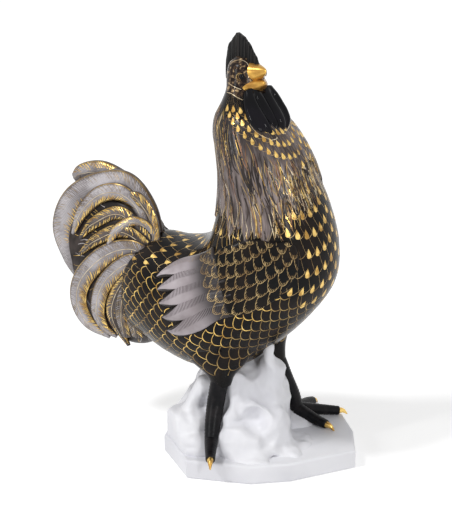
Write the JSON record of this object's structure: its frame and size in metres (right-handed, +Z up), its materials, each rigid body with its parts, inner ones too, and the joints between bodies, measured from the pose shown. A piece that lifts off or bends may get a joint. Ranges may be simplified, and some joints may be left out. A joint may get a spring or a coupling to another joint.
{
  "type": "rooster figurine",
  "caption": "Standing porcelain rooster with a raised sickle-feather tail, hackle cape, comb and wattles, fired whole with its rocky support and flat plinth.",
  "frame": {"origin": "centre of the plinth's flat underside", "axes": "+X the way the bird's body faces, +Y to the bird's left, +Z up from the plinth to the comb"},
  "size_m": [0.307, 0.1764, 0.3815],
  "materials": {
    "painted_porcelain": "glossy glaze, black ground with gold and mauve-grey painting on the bird, plain white on rock and plinth"
  },
  "bodies": {
    "root": {"rooster_figurine": "painted_porcelain"}
  },
  "joints": []
}
